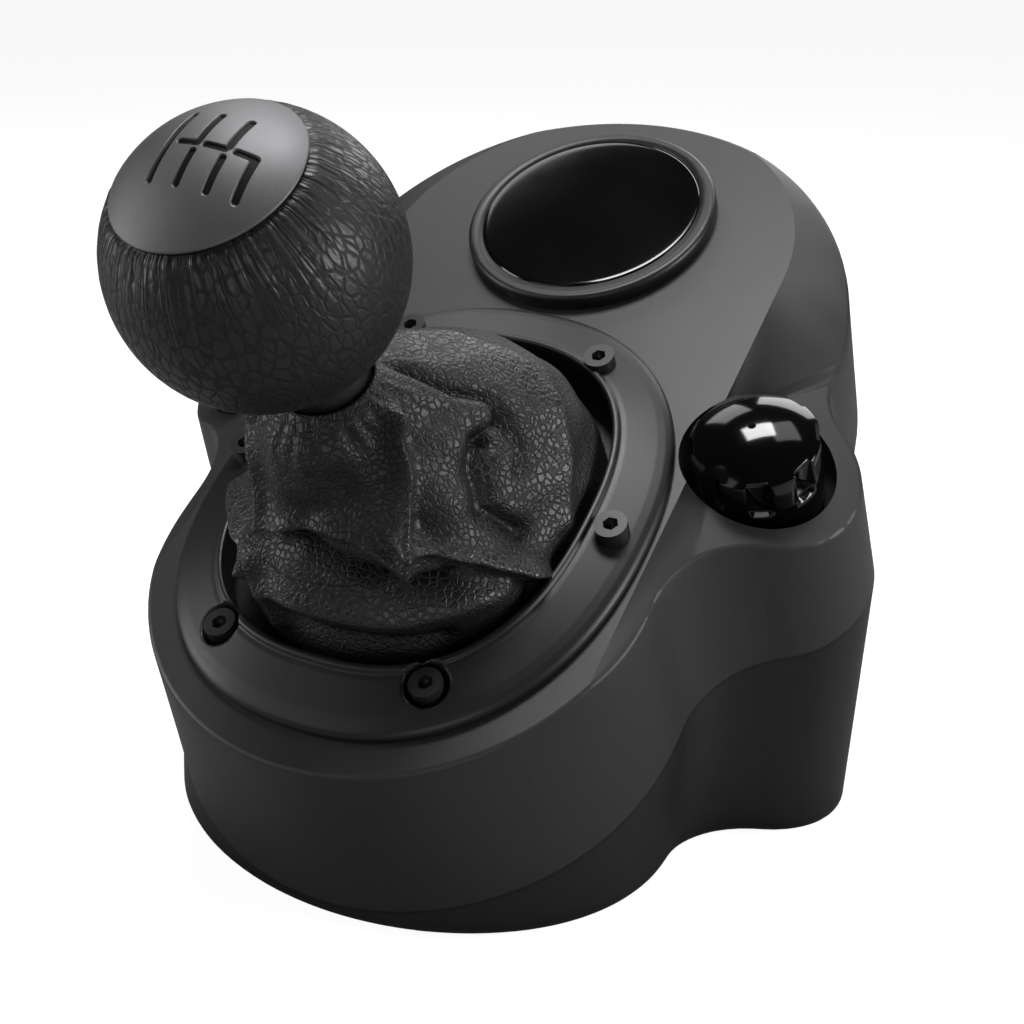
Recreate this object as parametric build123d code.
from build123d import *
import os
from math import copysign, cos, degrees, pi, radians, sin, sqrt, tan

os.makedirs("parts", exist_ok=True)

# Sim racing gear shifter, in millimetres. Up is +Z, the driver sits on the -Y side,
# and the origin is on the table, under the line of the ring's two middle screws.
# Three frames are used. "plate" lies in the sloped top plate: x across, v up the slope,
# w out of the plate. "pivot" stands on the lever's pivot: x across, f to the rear and
# h up the lever. Everything else is placed in the upright frame itself.

# Frames
top_slope = 28.0
top_height = 83.2
lever_rake = 5.56
pivot_v = -3.0
pivot_depth = 42.0

# Clearances that several pieces share
overrun = 2.0
run_fit = 0.04
slip_gap = 0.3
glue_gap = 0.05
thread_gap = 0.05
screw_clearance = 0.25

# Upper and lower case
plateau_depth = 8.0
seam_depth = 46.5
case_wall = 2.5
floor_thickness = 3.0
foot_stand = 0.8
wall_lean = 9.3
lower_lean = 7.0
facet_slope = 20.5
crease_half = 53.8
crease_v = 84.0
facet_reach = 110.0
front_reach = 100.0
bowl_radius = 59.9
bowl_v = -8.35
corner_radius = 51.75
side_x = 58.06
neck_radius = 26.0
ear_x = 64.3
ear_v = 33.9
ear_radius = 20.9
ear_fillet = 15.0
rear_radius = 72.0
rear_lead = 20.0
rear_v = crease_v - rear_lead
bowl_flare = 4.15
side_flare = 3.58
ear_flare = 2.2
rear_flare = 2.5
rim_round = 1.1
base_round = 4.0

# Ring round the boot and its screws
ring_half_x = 52.9
ring_half_v = 60.0
ring_hole_x = 39.7
ring_hole_v = 45.5
ring_power = 2.25
ring_hole_power = 2.5
ring_top_depth = 1.0
ring_lip_depth = 1.7
ring_lip_width = 1.3
ring_screw_depth = 4.0
ring_edge_depth = 5.6
ring_side_depth = 7.0
ring_edge_round = 0.9
front_screw_x = 25.1
front_screw_v = -44.5
rear_screw_x = 24.8
rear_screw_v = 44.0
middle_screw_x = 46.2
front_pocket_depth = 8.0
ring_screw_head = 7.0
ring_screw_head_height = 4.0
ring_screw_size = 4.0
ring_screw_hex = 3.0
ring_screw_hex_depth = 2.0
hole_margin = 1.0

# Boot and the frame that clamps its hem under the top plate
boot_skin = 1.4
hem_half_x = 38.4
hem_half_v = 44.2
hem_flange_x = 41.0
hem_flange_v = 47.0
hem_thickness = 1.2
boot_neck_radius = 10.9
boot_top_height = 44.0
boot_fold_depth = 1.7
boot_fold_count = 7
frame_half_x = 50.0
frame_half_v = 55.0
frame_hole_x = 36.0
frame_hole_v = 41.5
frame_thickness = 2.5
collar_low = 83.0
collar_high = 90.0
collar_radius = 8.4

# Emblem
emblem_lead = 10.6
emblem_v = crease_v + emblem_lead
bezel_radius = 31.6
bezel_height = 4.0
bezel_floor = 1.6
bezel_round = 1.2
disc_radius = 27.7
disc_thickness = 2.6
disc_dome = 0.5
stake_size = 4.0
stake_ring = 20.0
stake_count = 3

# Ball knob
ball_radius = 26.6
ball_height = 117.75
skin_thickness = 2.0
cap_angle = 41.0
cap_thickness = 2.2
ball_bottom_hole = 9.6
pattern_pitch = 5.4
pattern_reach = 7.6
pattern_left = 4.2
pattern_width = 1.3
pattern_depth = 0.5
pattern_break = 0.9

# Lever
rod_size = 10.0
rod_low = -14.0
rod_high = 108.0
pin_size = 3.6
pin_low = -36.0
clip_high = -11.2
clip_thickness = 1.3
clip_size = 15.0
spring_collar_low = 30.0
spring_collar_height = 5.0
spring_collar_size = 17.0
flag_width = 1.6
flag_near = 9.0
flag_far = 12.4
flag_low = 26.0
spring_size = 16.0
spring_bore = 10.8

# Rocker
hub_width = 18.0
hub_low = -11.0
hub_high = 14.0
shelf_reach = 13.4
shelf_thickness = 3.0
rocker_pin_size = 6.0
rocker_pin_near = 5.6
rocker_pin_far = 19.6
sensor_width = 8.0
sensor_thickness = 4.4
sensor_height = 10.0
sensor_slot = 3.0
sensor_slot_depth = 7.5

# Gimbal
gimbal_inner_x = 24.0
gimbal_inner_f = 30.0
gimbal_outer_x = 36.0
gimbal_outer_f = 44.0
gimbal_height = 12.0
gimbal_pin_size = 8.0
gimbal_pin_near = 15.0
gimbal_pin_far = 30.0
swing_angle = 12.0
washer_size = 14.0
bush_size = 12.0

# Cradle, gate and centring springs
upright_near = 23.5
upright_thickness = 5.0
upright_width = 20.0
cradle_half_x = 26.0
cradle_half_f = 28.5
cradle_top = -24.5
cradle_thickness = 4.0
cradle_window = 14.0
cradle_screw_x = 21.0
cradle_screw_f = 18.0
cradle_post_size = 9.0
gate_thickness = 3.0
gate_half = 19.0
gate_screw_place = 16.5
gate_play = 0.2
small_screw_size = 3.0
small_screw_head = 5.5
small_screw_head_height = 1.6
small_screw_length = 8.0
centring_size = 7.0
centring_bore = 4.6

# Sensors on the pins
side_sensor_size = 16.0
side_sensor_length = 7.0
side_magnet_size = 6.0
side_magnet_length = 2.4
shift_sensor_size = 11.6
shift_sensor_length = 6.5
shift_magnet_size = 5.0
shift_magnet_length = 2.0
sensor_cavity_gap = 1.2

# Side knobs, measured from the middle of each recess's mouth
recess_x = 64.9
recess_v = 32.3
recess_depth = 12.5
recess_radius = 16.4
recess_wall = 1.5
recess_low = -12.0
recess_floor = 2.5
knob_radius = 13.9
knob_low = -10.5
knob_shoulder = 7.5
knob_top = 11.8
knob_draft = 0.3
knob_edge = 0.8
scallop_count = 8
scallop_width = 5.3
scallop_low = -1.2
scallop_high = 8.6
scallop_depth = 1.1
scallop_corner = 1.5
spindle_size = 8.0
spindle_high = 3.0
spindle_shoulder = -27.5
spindle_neck = 5.0
spindle_ball = 8.0
spindle_ball_place = -34.0
spindle_bush_size = 11.0
spindle_bush_flange = 14.0
bush_flange_thickness = 1.0

# Clamps under the ears
screw_head_size = 14.0
socket_rim = 1.0
socket_floor = 0.4
shelf_drop = 7.3
clamp_shelf_thickness = 4.0
clamp_shelf_half = 9.0
clamp_screw_size = 8.0
clamp_screw_low = 5.5
groove_size = 6.6
ring_clip_size = 12.0
ring_clip_thickness = 1.1
ring_clip_gap = 0.1
ring_clip_slot = 4.0
nut_size = 12.0
nut_height = 10.0
nut_drop = 1.4
carriage_radius = 7.6
arm_x = 43.5
arm_width = 8.0
arm_depth = 13.0
arm_low = 1.6
jaw_width = 12.0
jaw_thickness = 6.0
jaw_end = 84.0
pad_thickness = 2.0
pad_inset = 1.0
pad_length = 24.0
arm_clearance = 0.4

# Board, socket, feet, inserts and case screws
board_half_x = 30.0
board_gap = 4.0
board_length = 28.0
board_height = 12.0
board_thickness = 1.6
board_post_size = 7.0
board_post_inset = 4.0
plug_half_x = 7.0
plug_depth = 6.0
plug_height = 8.0
socket_half_x = 8.0
socket_low = 9.0
socket_height = 12.0
socket_stand = 6.3
socket_length = 17.0
socket_wall = 2.0
socket_depth = 9.0
foot_size = 14.0
foot_thickness = 2.0
foot_front_x = 32.0
foot_front_y = -12.0
foot_rear_x = 27.0
foot_rear_gap = 16.0
insert_x = 22.0
insert_y = 66.0
insert_size = 9.0
insert_bore = 5.0
insert_length = 10.0
insert_boss_size = 13.0
case_post_size = 10.0
case_screw_size = 3.5
case_screw_head = 6.2
case_screw_head_height = 2.2
case_screw_grip = 6.0
case_screw_length = 16.0
case_tunnel_size = 7.0
front_post_x = 50.5
front_post_y = -17.0
rear_post_x = 42.0
rear_post_gap = 20.0
upper_post_height = 17.0


def rise(angle):
    """Slope of a line that stands at angle degrees to the horizontal."""
    return tan(radians(angle))


plate = Plane(
    origin=(0, 0, top_height),
    x_dir=(1, 0, 0),
    z_dir=(0, -sin(radians(top_slope)), cos(radians(top_slope))),
)
pivot_slope = top_slope + lever_rake
pivot = Plane(
    origin=plate.from_local_coords((0, pivot_v, -pivot_depth)),
    x_dir=(1, 0, 0),
    z_dir=(0, -sin(radians(pivot_slope)), cos(radians(pivot_slope))),
)


def on_plate(shape):
    return plate.location * shape


def on_pivot(shape):
    return pivot.location * shape


def save(node, *shapes):
    """Write one node: a single solid, or a group of solids that share a name."""
    solids = [solid for shape in shapes for solid in shape.solids()]
    whole = solids[0] if len(solids) == 1 else Compound(children=solids)
    export_step(whole, f"parts/{node}.step")


def block(x0, x1, y0, y1, z0, z1):
    """Box between two corners."""
    middle = Pos((x0 + x1) / 2, (y0 + y1) / 2, (z0 + z1) / 2)
    return middle * Box(abs(x1 - x0), abs(y1 - y0), abs(z1 - z0))


def stud(size, low, high):
    """Upright round bar, from low to high."""
    return Pos(0, 0, low) * extrude(Circle(size / 2), high - low)


def sleeve(size, bore, low, high):
    """Upright round tube."""
    return stud(size, low, high) - stud(bore, low - overrun, high + overrun)


def along_x(shape):
    """Turn an upright piece to lie along x."""
    return Rot(0, 90, 0) * shape


def along_y(shape):
    """Turn an upright piece to lie along y."""
    return Rot(-90, 0, 0) * shape


def other_side(shape):
    return mirror(shape, about=Plane.YZ)


def both_sides(shape):
    return [shape, other_side(shape)]


def screw(size, head, head_height, length):
    """Screw with its head's underside at zero and its shank below."""
    return stud(head, 0, head_height) + stud(size, -length, 0)


# Outlines of the case, seen square to the top plate


def meeting(first, first_radius, second, second_radius):
    """The point further from the middle where two circles cross."""
    between = second - first
    distance = between.length
    reach = (first_radius**2 - second_radius**2 + distance**2) / (2 * distance)
    height = sqrt(first_radius**2 - reach**2)
    ahead = between.normalized()
    aside = Vector(ahead.Y, -ahead.X)
    return first + ahead * reach + aside * height


def towards(start, target, distance):
    return start + (target - start).normalized() * distance


def arc(start, end, centre):
    """The short arc from start to end about centre."""
    chord_middle = (start + end) / 2
    through = towards(centre, chord_middle, (start - centre).length)
    return ThreePointArc(start, through, end)


def case_outline(seam_share, inset):
    """Rim at share 0 and seam at share 1: bowl, side, neck, ear and rear disc."""
    back = seam_share * (seam_depth - plateau_depth) * rise(wall_lean)
    grow = bowl_flare * seam_share - inset
    ear_grow = ear_flare * seam_share
    side = side_x + side_flare * seam_share - inset
    bowl_r = bowl_radius + grow
    corner_r = corner_radius + grow
    rear_r = rear_radius + rear_flare * seam_share - inset
    ear_r = ear_radius + ear_grow - inset
    neck_r = neck_radius + inset
    join_r = ear_fillet + inset
    bowl = Vector(0, bowl_v - back)
    rear = Vector(0, rear_v - back)
    ear = Vector(ear_x + ear_grow, ear_v - back)
    corner_x = side - corner_r
    corner = Vector(corner_x, bowl.Y - sqrt((bowl_r - corner_r) ** 2 - corner_x**2))
    neck_x = side + neck_r
    neck = Vector(neck_x, ear.Y - sqrt((neck_r + ear_r) ** 2 - (neck_x - ear.X) ** 2))
    join = meeting(ear, ear_r + join_r, rear, rear_r + join_r)
    bowl_end = towards(bowl, corner, bowl_r)
    side_low = Vector(side, corner.Y)
    side_high = Vector(side, neck.Y)
    ear_start = towards(ear, neck, ear_r)
    ear_end = towards(ear, join, ear_r)
    rear_start = towards(rear, join, rear_r)
    half = [
        arc(bowl_end, side_low, corner),
        Line(side_low, side_high),
        arc(side_high, ear_start, neck),
        arc(ear_start, ear_end, ear),
        arc(ear_end, rear_start, join),
    ]
    other_half = [mirror(edge, about=Plane.YZ) for edge in half]
    bowl_left = Vector(-bowl_end.X, bowl_end.Y)
    rear_left = Vector(-rear_start.X, rear_start.Y)
    front = ThreePointArc(bowl_left, Vector(0, bowl.Y - bowl_r), bowl_end)
    back_arc = ThreePointArc(rear_start, Vector(0, rear.Y + rear_r), rear_left)
    return make_face([front, *half, back_arc, *other_half])


def wall_body(inset, low_share):
    """The leaning wall's solid, from just above the plate down to a share of the seam."""
    depth = seam_depth - plateau_depth
    high_share = -overrun / depth
    sections = [
        Pos(0, 0, -plateau_depth - share * depth) * case_outline(share, inset)
        for share in (high_share, low_share)
    ]
    return loft(sections, ruled=True)


def plateau_outline(spread):
    half = crease_half + spread
    turn_left = Vector(-half, crease_v)
    turn_right = Vector(half, crease_v)
    return make_face(
        [
            Line((-half, -front_reach), (half, -front_reach)),
            Line((half, -front_reach), turn_right),
            ThreePointArc(turn_right, Vector(0, crease_v + half), turn_left),
            Line(turn_left, (-half, -front_reach)),
        ]
    )


def hip_body(sink):
    """Everything under the flat plateau and its sloped facets."""
    top = -plateau_depth - sink
    fall = facet_reach * rise(facet_slope)
    sections = [
        Pos(0, 0, top) * plateau_outline(0),
        Pos(0, 0, top - fall) * plateau_outline(facet_reach),
    ]
    return loft(sections, ruled=True)


def oval(half_x, half_v, power, low):
    """Flat superellipse |x/half_x|^power + |v/half_v|^power = 1 at height low."""
    steps = 32
    places = []
    for step in range(steps):
        turn = 2 * pi * step / steps
        along, across = cos(turn), sin(turn)
        places.append(
            (
                half_x * copysign(abs(along) ** (2 / power), along),
                half_v * copysign(abs(across) ** (2 / power), across),
            )
        )
    return Pos(0, 0, low) * make_face(Spline(*places, periodic=True))


def oval_bar(half_x, half_v, power, low, high):
    return extrude(oval(half_x, half_v, power, low), high - low, dir=(0, 0, 1))


# Places of the six ring screws, with the depth of each head's underside
middle_seat = -ring_screw_depth
ring_screw_places = [
    (side * x, v, seat)
    for side in (-1, 1)
    for x, v, seat in (
        (front_screw_x, front_screw_v, -front_pocket_depth + ring_screw_head_height / 2),
        (middle_screw_x, 0, middle_seat),
        (rear_screw_x, rear_screw_v, middle_seat),
    )
]

# The hem lies under the top plate, and the frame under the hem
plate_underside = -plateau_depth - case_wall
hem_top = plate_underside - slip_gap
frame_top = hem_top - hem_thickness - slip_gap
frame_bottom = frame_top - frame_thickness

# Middle of each side recess, upright frame, and of the clamp screw under it
recess_middle = plate.from_local_coords((recess_x, recess_v, -recess_depth))
recess = Plane(origin=recess_middle, x_dir=(1, 0, 0), z_dir=plate.z_dir)
drive_point = recess.from_local_coords((0, 0, spindle_ball_place))
clamp_y = drive_point.Y
clamp_head_top = drive_point.Z + socket_rim
shelf_top = drive_point.Z - shelf_drop

case_low = foot_stand
floor_top = foot_stand + floor_thickness

# Pieces at the rear keep their distance from the rear end of the case
rear_end = (rear_v + rear_radius) * cos(radians(top_slope))
socket_front = rear_end + socket_stand
socket_back = socket_front - socket_length
board_far = socket_back - board_gap
board_near = board_far - board_length
foot_rear_y = rear_end - foot_rear_gap
rear_post_y = rear_end - rear_post_gap

# Case posts: place on the base, and height of the seam plane there


def seam_height(y):
    """Height of the seam plane over the table, at a place y."""
    slope = radians(top_slope)
    v = (y - seam_depth * sin(slope)) / cos(slope)
    return top_height + v * sin(slope) - seam_depth * cos(slope)


case_posts = [
    (side * x, y)
    for side in (-1, 1)
    for x, y in ((front_post_x, front_post_y), (rear_post_x, rear_post_y))
]


def build_upper_case():
    shell_outside = wall_body(0, 1) & hip_body(0)
    edges = shell_outside.edges().filter_by(
        lambda edge: edge.center().Z > -seam_depth + overrun
        and edge.length > case_wall
    )
    rim = [edge for edge in edges if on_rim(edge)]
    outside = fillet(rim, rim_round)
    hollow = wall_body(case_wall, 1 + overrun / seam_depth) & hip_body(case_wall)
    shell = outside - hollow
    recess_low_w = -recess_depth + recess_low
    for side in (-1, 1):
        here = Pos(side * recess_x, recess_v, 0)
        cup_size = 2 * (recess_radius + recess_wall)
        cup = here * stud(cup_size, recess_low_w - recess_floor, 0)
        shell += cup & outside
        shell -= here * stud(2 * recess_radius, recess_low_w, overrun)
        bush_hole = stud(spindle_bush_size, recess_low_w - recess_floor - overrun, overrun)
        shell -= here * bush_hole
    opening = oval_bar(
        ring_hole_x + hole_margin,
        ring_hole_v + hole_margin,
        ring_hole_power,
        -seam_depth,
        overrun,
    )
    shell -= opening
    for x, v, seat in ring_screw_places:
        hole = stud(ring_screw_size + 2 * screw_clearance, frame_bottom, overrun)
        shell -= Pos(x, v, 0) * hole
    for step in range(stake_count):
        turn = Rot(0, 0, 360 * step / stake_count)
        hole = stud(stake_size + 2 * screw_clearance, plate_underside - overrun, overrun)
        shell -= Pos(0, emblem_v, 0) * turn * Pos(0, stake_ring, 0) * hole
    case = on_plate(shell)
    solid = on_plate(outside)
    for x, y in case_posts:
        seam = seam_height(y)
        reach = case_post_size * rise(top_slope)
        high = seam + (top_height if y > 0 else upper_post_height)
        post = Pos(x, y, 0) * stud(case_post_size, seam - reach, high)
        case += post & solid
        depth = seam + case_screw_length
        pilot = stud(case_screw_size, seam - reach - overrun, depth - case_screw_grip)
        case -= Pos(x, y, 0) * pilot
    return case


def on_rim(edge):
    """True for the outer edges where the top surfaces meet the walls."""
    middle = edge @ 0.5
    x = abs(middle.X)
    inside_x = crease_half - case_wall
    if x < inside_x and -bowl_radius / 2 < middle.Y < crease_v + crease_half / 2:
        return False
    crease_line = abs(x - crease_half) < glue_gap and middle.Y > -bowl_radius / 2
    crease_arc = abs(sqrt(middle.X**2 + (middle.Y - crease_v) ** 2) - crease_half)
    on_crease_arc = crease_arc < glue_gap and middle.Y > crease_v
    upright = abs((edge % 0.5).Z) > sin(radians(45))
    return not (crease_line or on_crease_arc or upright)


def lower_body(inset, low, lift):
    """Seam outline carried down along the lower wall's lean, cut off at low."""
    lean = radians(top_slope + lower_lean)
    fall = Vector(0, -sin(lean), -cos(lean))
    start = Pos(0, 0, -seam_depth) * case_outline(1, inset)
    start = Pos(*(fall * -lift)) * start
    length = 2 * top_height
    tall = on_plate(extrude(start, length, dir=fall))
    size = 2 * front_reach
    keep = Pos(0, 0, low + size) * Box(2 * size, 4 * size, 2 * size)
    return tall & keep


def build_lower_case():
    outside = lower_body(0, case_low, 0)
    bottom = outside.edges().filter_by(lambda edge: abs(edge.center().Z - case_low) < glue_gap)
    outside = fillet(bottom, base_round)
    hollow = lower_body(case_wall, floor_top, overrun)
    case = outside - hollow
    for x, y in case_posts:
        seam = seam_height(y)
        reach = case_post_size * rise(top_slope)
        post = Pos(x, y, 0) * stud(case_post_size, case_low, seam + reach)
        case += post & outside
        tunnel_top = seam - reach - case_screw_grip
        case -= Pos(x, y, 0) * stud(case_tunnel_size, 0, tunnel_top)
        hole = stud(case_screw_size + 2 * screw_clearance, 0, seam + reach)
        case -= Pos(x, y, 0) * hole
    case += cradle_posts() & outside
    for x, f in cradle_screw_places():
        pilot = stud(small_screw_size, cradle_bottom - small_screw_length, cradle_bottom)
        case -= on_pivot(Pos(x, f, 0) * pilot)
    for x, y in board_post_places():
        case += Pos(x, y, 0) * stud(board_post_size, case_low + glue_gap, board_height)
        pilot = stud(small_screw_size, floor_top, board_height + overrun)
        case -= Pos(x, y, 0) * pilot
    for x, y in insert_places():
        case += Pos(x, y, 0) * stud(insert_boss_size, case_low + glue_gap, boss_top)
        case -= Pos(x, y, 0) * stud(insert_size, 0, case_low + insert_length)
    for x, y in foot_places():
        pocket = stud(foot_size, 0, foot_thickness)
        case -= Pos(x, y, 0) * pocket
    for side in (-1, 1):
        shelf = block(
            side * (recess_x - clamp_shelf_half),
            side * (recess_x + ear_radius + neck_radius),
            clamp_y - clamp_shelf_half,
            clamp_y + clamp_shelf_half,
            shelf_top - clamp_shelf_thickness,
            shelf_top,
        )
        case += shelf & outside
        bore = stud(clamp_screw_size + 2 * run_fit, clamp_screw_low, clamp_head_top)
        case -= Pos(side * recess_x, clamp_y, 0) * bore
        case -= arm_slot() if side > 0 else other_side(arm_slot())
    case -= block(
        -socket_half_x,
        socket_half_x,
        socket_back,
        front_reach * 2,
        socket_low,
        socket_low + socket_height,
    )
    case += socket_saddle()
    return case


# Mechanism pieces, about the pivot

cradle_bottom = cradle_top - cradle_thickness
gate_top = cradle_bottom
gate_bottom = gate_top - gate_thickness


def cradle_screw_places():
    return [
        (sx * cradle_screw_x, sf * cradle_screw_f) for sx in (-1, 1) for sf in (-1, 1)
    ]


def cradle_posts():
    """Upright posts on the floor, cut off along the sloped cradle's underside."""
    posts = []
    for x, f in cradle_screw_places():
        foot = pivot.from_local_coords((x, f, cradle_bottom))
        high = foot.Z + cradle_post_size
        posts.append(Pos(foot.X, foot.Y, 0) * stud(cradle_post_size, case_low, high))
    reach = 2 * front_reach
    above = on_pivot(Pos(0, 0, cradle_bottom + reach / 2) * Box(reach, reach, reach))
    whole = posts[0] + posts[1] + posts[2] + posts[3]
    return whole - above


def build_lever():
    rod = stud(rod_size, rod_low, rod_high) + stud(pin_size, pin_low, rod_low)
    return on_pivot(rod)


def build_lever_clip():
    low = clip_high - clip_thickness
    ring = sleeve(clip_size, rod_size, low, clip_high)
    return on_pivot(ring)


def build_spring_collar():
    high = spring_collar_low + spring_collar_height
    ring = stud(spring_collar_size, spring_collar_low, high)
    arm = block(-flag_width / 2, flag_width / 2, -flag_far, 0, spring_collar_low, high)
    flag = block(-flag_width / 2, flag_width / 2, -flag_far, -flag_near, flag_low, high)
    bore = stud(rod_size, 0, high + overrun)
    return on_pivot(ring + arm + flag - bore)


def build_reverse_spring():
    return on_pivot(sleeve(spring_size, spring_bore, hub_high, spring_collar_low))


def build_rocker_hub():
    half = hub_width / 2
    hub = block(-half, half, -half, half, hub_low, hub_high)
    shelf = block(
        -sensor_width / 2,
        sensor_width / 2,
        -shelf_reach,
        0,
        hub_high - shelf_thickness,
        hub_high,
    )
    bore = stud(rod_size + 2 * run_fit, hub_low - overrun, hub_high + overrun)
    hub = hub + shelf - bore
    for side in (-1, 1):
        hub -= along_x(stud(rocker_pin_size, side * rocker_pin_near, side * half * 2))
    return on_pivot(hub)


def build_rocker_pins():
    pin = along_x(stud(rocker_pin_size, rocker_pin_near, rocker_pin_far))
    return [on_pivot(piece) for piece in both_sides(pin)]


def build_reverse_sensor():
    half = sensor_width / 2
    near = -shelf_reach + sensor_thickness
    top = hub_high + sensor_height
    housing = block(-half, half, -shelf_reach, near, hub_high, top)
    slot = block(
        -sensor_slot / 2,
        sensor_slot / 2,
        -shelf_reach - overrun,
        near + overrun,
        top - sensor_slot_depth,
        top + overrun,
    )
    return on_pivot(housing - slot)


def build_gimbal():
    half_h = gimbal_height / 2
    outer_x, outer_f = gimbal_outer_x / 2, gimbal_outer_f / 2
    inner_x, inner_f = gimbal_inner_x / 2, gimbal_inner_f / 2
    frame = block(-outer_x, outer_x, -outer_f, outer_f, -half_h, half_h)
    frame -= block(
        -inner_x, inner_x, -inner_f, inner_f, -half_h - overrun, half_h + overrun
    )
    bore = rocker_pin_size + 2 * run_fit
    frame -= along_x(stud(bore, -outer_x - overrun, outer_x + overrun))
    frame -= along_y(stud(gimbal_pin_size, -outer_f - overrun, outer_f + overrun))
    return on_pivot(frame)


def build_gimbal_pins():
    ahead = along_y(stud(gimbal_pin_size, gimbal_pin_near, gimbal_pin_far))
    return [on_pivot(ahead), on_pivot(mirror(ahead, about=Plane.XZ))]


def build_washers():
    low = gimbal_outer_f / 2 + glue_gap
    high = upright_near - glue_gap
    bore = gimbal_pin_size + 2 * screw_clearance
    ahead = along_y(sleeve(washer_size, bore, low, high))
    return [on_pivot(ahead), on_pivot(mirror(ahead, about=Plane.XZ))]


def build_bushes():
    low, high = upright_near, upright_near + upright_thickness
    bore = gimbal_pin_size + 2 * run_fit
    ahead = along_y(sleeve(bush_size, bore, low, high))
    return [on_pivot(ahead), on_pivot(mirror(ahead, about=Plane.XZ))]


def build_cradle():
    plate_body = block(
        -cradle_half_x,
        cradle_half_x,
        -cradle_half_f,
        cradle_half_f,
        cradle_bottom,
        cradle_top,
    )
    window = block(
        -cradle_window,
        cradle_window,
        -cradle_window,
        cradle_window,
        cradle_bottom - overrun,
        cradle_top + overrun,
    )
    cradle = plate_body - window
    near, far = upright_near, upright_near + upright_thickness
    half = upright_width / 2
    for low, high in ((near, far), (-far, -near)):
        cradle += block(-half, half, low, high, cradle_bottom, 0)
        cradle += along_y(stud(upright_width, low, high))
        cradle -= along_y(stud(bush_size, low - overrun, high + overrun))
    for x, f in cradle_screw_places():
        hole = stud(
            small_screw_size + 2 * screw_clearance,
            cradle_bottom - overrun,
            cradle_top + overrun,
        )
        cradle -= Pos(x, f, 0) * hole
    for x, f in gate_screw_places():
        hole = stud(small_screw_size, cradle_bottom - overrun, cradle_top + overrun)
        cradle -= Pos(x, f, 0) * hole
    return on_pivot(cradle)


def build_cradle_screws():
    piece = screw(
        small_screw_size, small_screw_head, small_screw_head_height, small_screw_length
    )
    return [on_pivot(Pos(x, f, cradle_top) * piece) for x, f in cradle_screw_places()]


def gate_screw_places():
    place = gate_screw_place
    return [(-place, 0), (place, 0)]


def build_gate():
    """Plate with the neutral channel across and the three columns fore and aft."""
    plate_body = block(-gate_half, gate_half, -gate_half / 2, gate_half / 2, gate_bottom, gate_top)
    depth = -(gate_top + gate_bottom) / 2
    swing = radians(swing_angle)
    column = depth * tan(swing)
    reach = column / cos(swing)
    pin = pin_size / 2
    half = pin + gate_play
    tilt_half = pin / cos(swing) + gate_thickness / 2 * tan(swing) + gate_play
    low, high = gate_bottom - overrun, gate_top + overrun
    end = reach + tilt_half
    side = column + tilt_half
    gate = plate_body - block(-side, side, -half, half, low, high)
    gate -= block(-half, half, -end, end, low, high)
    for direction in (-1, 1):
        near = direction * (column - tilt_half)
        gate -= block(near, direction * side, -end, end, low, high)
    for x, f in gate_screw_places():
        hole = stud(small_screw_size + 2 * screw_clearance, low, high)
        gate -= Pos(x, f, 0) * hole
    return on_pivot(gate)


def build_gate_screws():
    piece = screw(
        small_screw_size,
        small_screw_head,
        small_screw_head_height,
        gate_thickness + cradle_thickness,
    )
    upside = Rot(180, 0, 0) * piece
    return [on_pivot(Pos(x, f, gate_bottom) * upside) for x, f in gate_screw_places()]


def build_centring_springs():
    place = (gimbal_inner_x + gimbal_outer_x) / 4
    spring = sleeve(centring_size, centring_bore, cradle_top, -gimbal_height / 2)
    here = Pos(place, 0, 0) * spring
    return [on_pivot(piece) for piece in both_sides(here)]


def build_side_sensor():
    low = upright_near + upright_thickness
    high = low + side_sensor_length
    cavity_high = gimbal_pin_far + side_magnet_length + sensor_cavity_gap
    housing = along_y(stud(side_sensor_size, low, high))
    housing -= along_y(stud(gimbal_pin_size + 2 * sensor_cavity_gap, low - overrun, cavity_high))
    return on_pivot(housing)


def build_side_magnet():
    low = gimbal_pin_far
    return on_pivot(along_y(stud(side_magnet_size, low, low + side_magnet_length)))


def build_shift_sensor():
    low = gimbal_outer_x / 2
    high = low + shift_sensor_length
    cavity_high = rocker_pin_far + shift_magnet_length + sensor_cavity_gap
    housing = along_x(stud(shift_sensor_size, low, high))
    housing -= along_x(stud(rocker_pin_size + 2 * sensor_cavity_gap, low - overrun, cavity_high))
    return on_pivot(housing)


def build_shift_magnet():
    low = rocker_pin_far
    return on_pivot(along_x(stud(shift_magnet_size, low, low + shift_magnet_length)))


# Ball knob


def ball(radius):
    return Pos(0, 0, ball_height) * Sphere(radius)


def cap_cone(angle):
    """Cone about the lever's axis with its tip in the middle of the ball."""
    height = 2 * ball_radius
    base = height * rise(angle)
    tip = Pos(0, 0, ball_height + height / 2)
    return tip * Cone(bottom_radius=0, top_radius=base, height=height)


def build_knob_core():
    core = ball(ball_radius - cap_thickness - glue_gap)
    low = ball_height - ball_radius
    core -= stud(rod_size, low - overrun, rod_high)
    core -= stud(2 * ball_bottom_hole, low - overrun, low + cap_thickness + overrun)
    return on_pivot(core)


def build_knob_leather():
    skin = ball(ball_radius) - ball(ball_radius - skin_thickness)
    gap_angle = degrees(glue_gap / ball_radius)
    skin -= cap_cone(cap_angle + gap_angle)
    low = ball_height - ball_radius
    skin -= stud(2 * ball_bottom_hole, low - overrun, ball_height)
    return on_pivot(skin)


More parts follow.
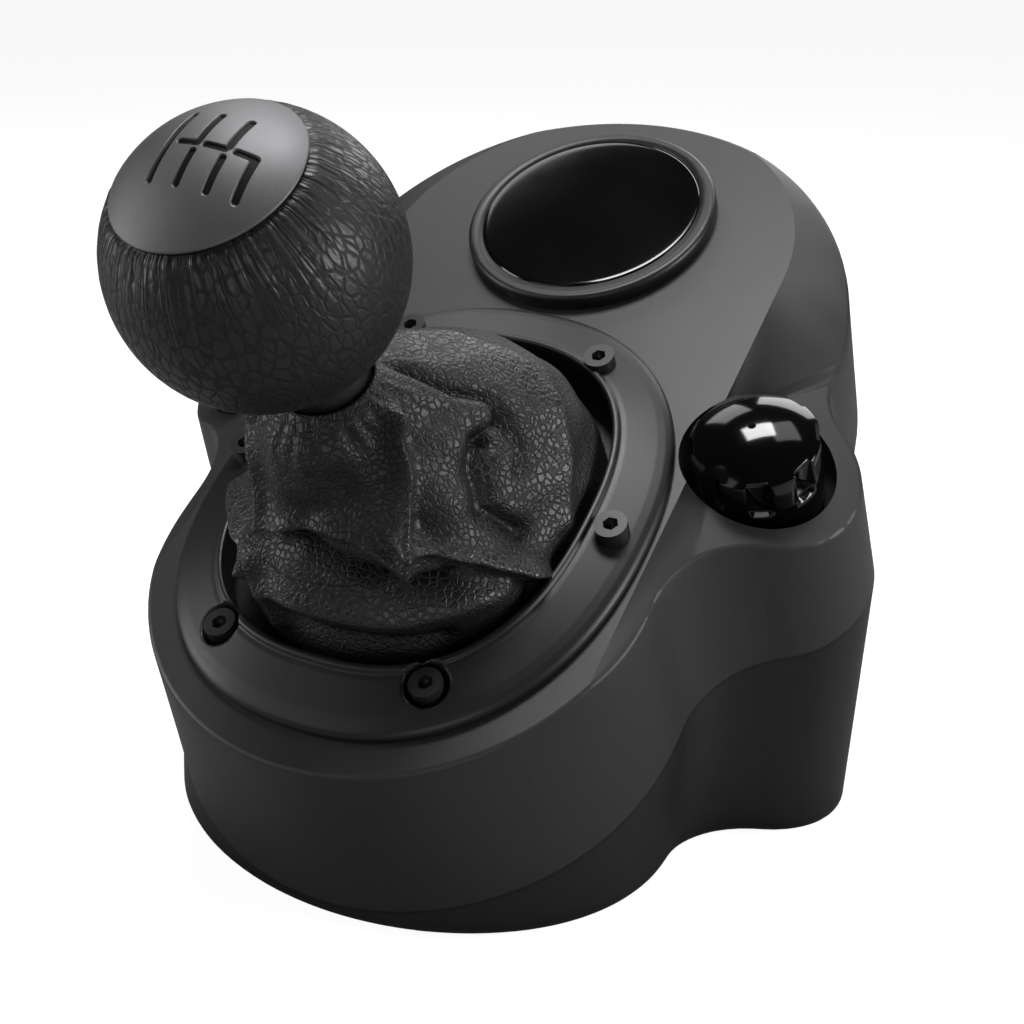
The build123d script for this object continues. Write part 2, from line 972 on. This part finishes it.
def build_knob_cap():
    cap = (ball(ball_radius) - ball(ball_radius - cap_thickness)) & cap_cone(cap_angle)
    low = ball_height + ball_radius * cos(radians(cap_angle))
    groove_floor = ball(ball_radius - pattern_depth)
    columns = [pattern_pitch * step - pattern_left for step in range(3)]
    reverse_x = columns[2] + pattern_pitch * (pattern_reach / (pattern_reach + pattern_break))
    half = pattern_width / 2
    high = ball_height + ball_radius + overrun
    near, far = columns[0] - half, columns[0] + half
    strokes = block(near, far, -pattern_reach, pattern_reach, low - overrun, high)
    for column in columns[1:]:
        for start, end in ((pattern_break, pattern_reach), (-pattern_reach, -pattern_break)):
            strokes += block(column - half, column + half, start, end, low - overrun, high)
    strokes += block(reverse_x - half, reverse_x + half, -pattern_reach, half, low - overrun, high)
    gap = pattern_width
    stops = [*columns, reverse_x]
    for left, right in zip(stops[:-1], stops[1:]):
        strokes += block(left + gap, right - gap / 2, -half, half, low - overrun, high)
    engraved = cap - (strokes - groove_floor)
    return on_pivot(engraved)


def build_collar():
    ring = sleeve(2 * collar_radius, rod_size, collar_low, collar_high)
    return on_pivot(ring)


# Boot: sections parallel to the plate, given as shares of the hem and the top


def boot_section(height, half_x, front, rear, centre_v, power, fold, skin):
    """Closed section whose radius swings in and out in broad folds."""
    steps = 28
    places = []
    for step in range(steps):
        turn = 2 * pi * step / steps
        along, across = cos(turn), sin(turn)
        half_v = rear if across > 0 else front
        round_x = copysign(abs(along) ** (2 / power), along)
        round_v = copysign(abs(across) ** (2 / power), across)
        wave = 1 + fold * cos(boot_fold_count * turn + height / boot_neck_radius)
        x = (half_x * wave - skin) * round_x
        v = (half_v * wave - skin) * round_v + centre_v
        places.append((x, v))
    return Pos(0, 0, height) * make_face(Spline(*places, periodic=True))


def lever_v(height):
    """Where the lever's axis crosses a plane parallel to the plate."""
    return pivot_v - (height + pivot_depth) * rise(lever_rake)


boot_table_shares = (
    # height, half width, front, rear, fold
    (0.0, 1.0, 1.0, 1.0, 0.0),
    (0.16, 0.98, 0.98, 0.98, 0.2),
    (0.34, 0.92, 0.94, 0.88, 0.9),
    (0.52, 0.80, 0.80, 0.74, 1.0),
    (0.68, 0.60, 0.60, 0.62, 0.9),
    (0.82, 0.42, 0.38, 0.44, 0.5),
    (0.92, 0.31, 0.28, 0.31, 0.2),
    (1.0, 0.284, 0.246, 0.246, 0.0),
)


def boot_body(skin, stretch):
    base = frame_top + hem_thickness / 2
    span = boot_top_height - base
    low_v = 0
    sections = []
    for place, width, front, rear, fold in boot_table_shares:
        height = base + span * place
        if place == 0:
            height -= stretch
        if place == 1:
            height += stretch
        centre_v = low_v + (lever_v(boot_top_height) - low_v) * place**2
        power = ring_hole_power + (2 - ring_hole_power) * place
        depth = fold * boot_fold_depth / hem_half_x
        sections.append(
            boot_section(
                height,
                hem_half_x * width,
                hem_half_v * front,
                hem_half_v * rear,
                centre_v,
                power,
                depth,
                skin,
            )
        )
    return loft(sections)


def build_boot():
    base = frame_top + hem_thickness / 2
    body = boot_body(0, 0) - boot_body(boot_skin, glue_gap)
    flange = oval_bar(hem_flange_x, hem_flange_v, ring_hole_power, hem_top - hem_thickness, hem_top)
    inner_x = hem_half_x - boot_skin
    inner_v = hem_half_v - boot_skin
    flange -= oval_bar(inner_x, inner_v, ring_hole_power, base - overrun, hem_top + overrun)
    return on_plate(body + flange)


def build_boot_frame():
    frame = oval_bar(frame_half_x, frame_half_v, ring_power, frame_bottom, frame_top)
    hole = oval_bar(
        frame_hole_x, frame_hole_v, ring_hole_power, frame_bottom - overrun, overrun
    )
    frame -= hole
    for x, v, seat in ring_screw_places:
        frame -= Pos(x, v, 0) * stud(ring_screw_size, frame_bottom - overrun, overrun)
    return on_plate(frame)


def build_ring():
    """Oval ring whose top falls away from its inner lip to a rounded outer edge."""
    slope_x = (ring_hole_x + ring_half_x) / 2
    slope_v = (ring_hole_v + ring_half_v) / 2
    lip_x = ring_hole_x + ring_lip_width
    lip_v = ring_hole_v + ring_lip_width
    soft = ring_edge_round
    profile = (
        (ring_half_x - soft, ring_half_v - soft, plateau_depth),
        (ring_half_x, ring_half_v, ring_side_depth),
        (ring_half_x - soft, ring_half_v - soft, ring_edge_depth),
        (slope_x, slope_v, ring_screw_depth - ring_screw_depth / 8),
        (lip_x, lip_v, ring_lip_depth),
        (ring_hole_x + ring_lip_width / 2, ring_hole_v + ring_lip_width / 2, ring_top_depth),
    )
    sections = []
    for half_x, half_v, depth in profile:
        share = (ring_half_x - half_x) / (ring_half_x - ring_hole_x)
        power = ring_power + (ring_hole_power - ring_power) * share
        sections.append(oval(half_x, half_v, power, -depth))
    ring = loft(sections, ruled=True)
    ring -= oval_bar(
        ring_hole_x, ring_hole_v, ring_hole_power, -plateau_depth - overrun, overrun
    )
    for x, v, seat in ring_screw_places:
        here = Pos(x, v, 0)
        size = ring_screw_size + 2 * screw_clearance
        ring -= here * stud(size, -plateau_depth - overrun, overrun)
        head = ring_screw_head + 4 * screw_clearance
        ring -= here * stud(head, seat, overrun)
    return on_plate(ring)


def build_ring_screws():
    pieces = []
    for x, v, seat in ring_screw_places:
        length = seat - frame_bottom
        piece = screw(ring_screw_size, ring_screw_head, ring_screw_head_height, length)
        radius = ring_screw_hex / 2 / cos(radians(30))
        low = ring_screw_head_height - ring_screw_hex_depth
        hexagon = Pos(0, 0, low) * extrude(RegularPolygon(radius, 6), ring_screw_hex_depth)
        pieces.append(on_plate(Pos(x, v, seat) * (piece - hexagon)))
    return pieces


def build_bezel():
    low = -plateau_depth
    dish = stud(2 * bezel_radius, low, low + bezel_height)
    top = dish.edges().group_by(Axis.Z)[-1]
    dish = fillet(top, bezel_round)
    recess_size = 2 * (disc_radius + glue_gap)
    dish -= stud(recess_size, low + bezel_floor, overrun)
    for step in range(stake_count):
        turn = Rot(0, 0, 360 * step / stake_count)
        stake = stud(stake_size, plate_underside - overrun / 2, low + bezel_floor)
        dish += turn * Pos(0, stake_ring, 0) * stake
    return on_plate(Pos(0, emblem_v, 0) * dish)


def build_emblem():
    low = -plateau_depth + bezel_floor
    edge_high = low + disc_thickness
    dome_radius = (disc_radius**2 + disc_dome**2) / (2 * disc_dome)
    dome = Pos(0, 0, edge_high + disc_dome - dome_radius) * Sphere(dome_radius)
    disc = stud(2 * disc_radius, low, edge_high + disc_dome) & dome
    return on_plate(Pos(0, emblem_v, 0) * disc)


# Side knobs and clamps, built on the +X side


def on_recess(shape):
    return recess.location * shape


def build_side_knob():
    dome_height = knob_top - knob_shoulder
    dome_radius = (knob_radius**2 + dome_height**2) / (2 * dome_height)
    low_radius = knob_radius - knob_draft
    shoulder = Vector(knob_radius, knob_shoulder)
    crown = Vector(0, knob_top)
    outline = make_face(
        [
            Line((0, knob_low), (low_radius, knob_low)),
            Line((low_radius, knob_low), shoulder),
            arc(shoulder, crown, crown - Vector(0, dome_radius)),
            Line((0, knob_top), (0, knob_low)),
        ]
    )
    knob = revolve(Plane.XZ * outline, Axis.Z)
    turned = knob.edges().filter_by(GeomType.CIRCLE)
    shoulder_edge = turned.filter_by(lambda edge: abs(edge.center().Z - knob_shoulder) < glue_gap)
    knob = fillet(shoulder_edge, knob_edge)
    knob -= stud(spindle_size, knob_low - overrun, spindle_high)
    width, height = scallop_width, scallop_high - scallop_low
    middle = (scallop_low + scallop_high) / 2
    shape = RectangleRounded(height, width, scallop_corner)
    for step in range(scallop_count):
        turn = Rot(0, 0, 360 * (step + 0.5) / scallop_count)
        cutter = extrude(Plane.YZ * Rot(0, 0, 90) * shape, scallop_depth + overrun)
        place = Pos(knob_radius - scallop_depth, 0, middle)
        knob -= turn * place * cutter
    return on_recess(knob)


def build_spindle():
    bar = stud(spindle_size, spindle_shoulder, spindle_high)
    neck = stud(spindle_neck, spindle_ball_place, spindle_shoulder)
    tip = Pos(0, 0, spindle_ball_place) * Sphere(spindle_ball / 2)
    return on_recess(bar + neck + tip)


def build_spindle_bush():
    low = recess_low - recess_floor
    bush = stud(spindle_bush_size, low, recess_low)
    bush += stud(spindle_bush_flange, recess_low, recess_low + bush_flange_thickness)
    high = recess_low + bush_flange_thickness + overrun
    bush -= stud(spindle_size + 2 * run_fit, low - overrun, high)
    return on_recess(bush)


def at_clamp(shape):
    return Pos(recess_x, clamp_y, 0) * shape


clip_top = shelf_top - clamp_shelf_thickness - ring_clip_gap
clip_low = clip_top - ring_clip_thickness
nut_top = clip_low - nut_drop
nut_low = nut_top - nut_height


def build_clamp_screw():
    head = stud(screw_head_size, shelf_top + ring_clip_gap, clamp_head_top)
    shank = stud(clamp_screw_size, clamp_screw_low, shelf_top + ring_clip_gap)
    groove = sleeve(clamp_screw_size + overrun, groove_size, clip_low, clip_top)
    socket_size = spindle_ball + 2 * run_fit
    socket_low_z = drive_point.Z - socket_size / 2 - socket_floor
    cup = stud(socket_size, socket_low_z, clamp_head_top + overrun)
    return at_clamp(head + shank - groove - cup)


def build_ring_clip():
    ring = sleeve(ring_clip_size, groove_size, clip_low, clip_top)
    half = ring_clip_slot / 2
    ring -= block(0, ring_clip_size, -half, half, clip_low - overrun, clip_top + overrun)
    return at_clamp(ring)


def build_clamp_nut():
    bore = clamp_screw_size + 2 * thread_gap
    return at_clamp(sleeve(nut_size, bore, nut_low, nut_top))


def arm_outline(extra):
    """Plan of the arm's leg and jaw, for the arm and for its slot in the floor."""
    front = clamp_y - arm_depth / 2
    high = shelf_top - clamp_shelf_thickness
    side = arm_x + jaw_width + extra
    return block(arm_x - extra, side, front - extra, jaw_end + extra, 0, high)


def arm_slot():
    near_floor = block(0, front_reach, 0, front_reach, 0, floor_top + overrun)
    return arm_outline(arm_clearance) & near_floor


def build_clamp_arm():
    front = clamp_y - arm_depth / 2
    rear = clamp_y + arm_depth / 2
    leg = block(arm_x, arm_x + arm_width, front, rear, arm_low, nut_top)
    jaw = block(arm_x, arm_x + jaw_width, front, jaw_end, arm_low, arm_low + jaw_thickness)
    bridge = block(arm_x, recess_x, front, rear, nut_low, nut_top)
    ring = at_clamp(stud(2 * carriage_radius, nut_low, nut_top))
    bore = at_clamp(stud(nut_size, nut_low - overrun, nut_top + overrun))
    return leg + jaw + bridge + ring - bore


def build_clamp_pad():
    low = arm_low + jaw_thickness
    return block(
        arm_x + pad_inset,
        arm_x + jaw_width - pad_inset,
        jaw_end - pad_inset - pad_length,
        jaw_end - pad_inset,
        low,
        low + pad_thickness,
    )


# Board, socket, feet, inserts and case screws

boss_top = case_low + insert_length + case_wall


def board_post_places():
    x = board_half_x - board_post_inset
    return [
        (side * x, y)
        for side in (-1, 1)
        for y in (board_near + board_post_inset, board_far - board_post_inset)
    ]


def insert_places():
    return [(-insert_x, insert_y), (insert_x, insert_y)]


def foot_places():
    corners = ((foot_front_x, foot_front_y), (foot_rear_x, foot_rear_y))
    return [(0, 0)] + [(side * x, y) for side in (-1, 1) for x, y in corners]


def build_board():
    board = block(
        -board_half_x,
        board_half_x,
        board_near,
        board_far,
        board_height,
        board_height + board_thickness,
    )
    for x, y in board_post_places():
        hole = stud(small_screw_size + 2 * screw_clearance, 0, board_height + overrun)
        board -= Pos(x, y, 0) * hole
    return board


def build_board_screws():
    top = board_height + board_thickness
    length = small_screw_length
    piece = screw(small_screw_size, small_screw_head, small_screw_head_height, length)
    return [Pos(x, y, top) * piece for x, y in board_post_places()]


def build_board_plug():
    low = board_height + board_thickness
    far = board_far - board_post_inset / 2
    return block(-plug_half_x, plug_half_x, far - plug_depth, far, low, low + plug_height)


def socket_saddle():
    """Block on the floor that the cable socket sits on."""
    return block(
        -socket_half_x,
        socket_half_x,
        socket_back,
        socket_back + socket_depth,
        case_low + glue_gap,
        socket_low,
    )


def build_socket():
    high = socket_low + socket_height
    shell = block(-socket_half_x, socket_half_x, socket_back, socket_front, socket_low, high)
    wall = socket_wall
    cavity = block(
        -socket_half_x + wall,
        socket_half_x - wall,
        socket_front - socket_depth,
        socket_front + overrun,
        socket_low + wall,
        high - wall,
    )
    return shell - cavity


def build_feet():
    return [Pos(x, y, 0) * stud(foot_size, 0, foot_thickness) for x, y in foot_places()]


def build_inserts():
    high = case_low + insert_length
    piece = sleeve(insert_size, insert_bore, case_low, high)
    return [Pos(x, y, 0) * piece for x, y in insert_places()]


def build_case_screws():
    pieces = []
    for x, y in case_posts:
        seam = seam_height(y)
        reach = case_post_size * rise(top_slope)
        seat = seam - reach - case_screw_grip
        length = case_screw_length + reach
        upright = screw(case_screw_size, case_screw_head, case_screw_head_height, length)
        pieces.append(Pos(x, y, seat) * Rot(180, 0, 0) * upright)
    return pieces


save("upper_case", build_upper_case())
save("lower_case", build_lower_case())
save("boot_ring", build_ring())
save("ring_screws", *build_ring_screws())
save("boot", build_boot())
save("boot_frame", build_boot_frame())
save("boot_collar", build_collar())
save("emblem_bezel", build_bezel())
save("emblem_disc", build_emblem())
save("shift_lever", build_lever())
save("lever_clip", build_lever_clip())
save("spring_collar", build_spring_collar())
save("reverse_spring", build_reverse_spring())
save("knob_core", build_knob_core())
save("knob_leather", build_knob_leather())
save("knob_cap", build_knob_cap())
save("rocker_hub", build_rocker_hub())
save("rocker_pins", *build_rocker_pins())
save("reverse_sensor", build_reverse_sensor())
save("gimbal_frame", build_gimbal())
save("gimbal_pins", *build_gimbal_pins())
save("thrust_washers", *build_washers())
save("gimbal_bushes", *build_bushes())
save("cradle", build_cradle())
save("cradle_screws", *build_cradle_screws())
save("gate_plate", build_gate())
save("gate_screws", *build_gate_screws())
save("centring_springs", *build_centring_springs())
save("side_sensor", build_side_sensor())
save("side_magnet", build_side_magnet())
save("shift_sensor", build_shift_sensor())
save("shift_magnet", build_shift_magnet())
save("circuit_board", build_board())
save("board_screws", *build_board_screws())
save("board_plug", build_board_plug())
save("cable_socket", build_socket())
save("case_screws", *build_case_screws())
save("rubber_feet", *build_feet())
save("mount_inserts", *build_inserts())
save("spindle_bushes", *both_sides(build_spindle_bush()))

side_pieces = {
    "side_knob": build_side_knob(),
    "spindle": build_spindle(),
    "clamp_screw": build_clamp_screw(),
    "clamp_clip": build_ring_clip(),
    "clamp_nut": build_clamp_nut(),
    "clamp_arm": build_clamp_arm(),
    "clamp_pad": build_clamp_pad(),
}
for name, piece in side_pieces.items():
    save(f"{name}_right", piece)
    save(f"{name}_left", other_side(piece))
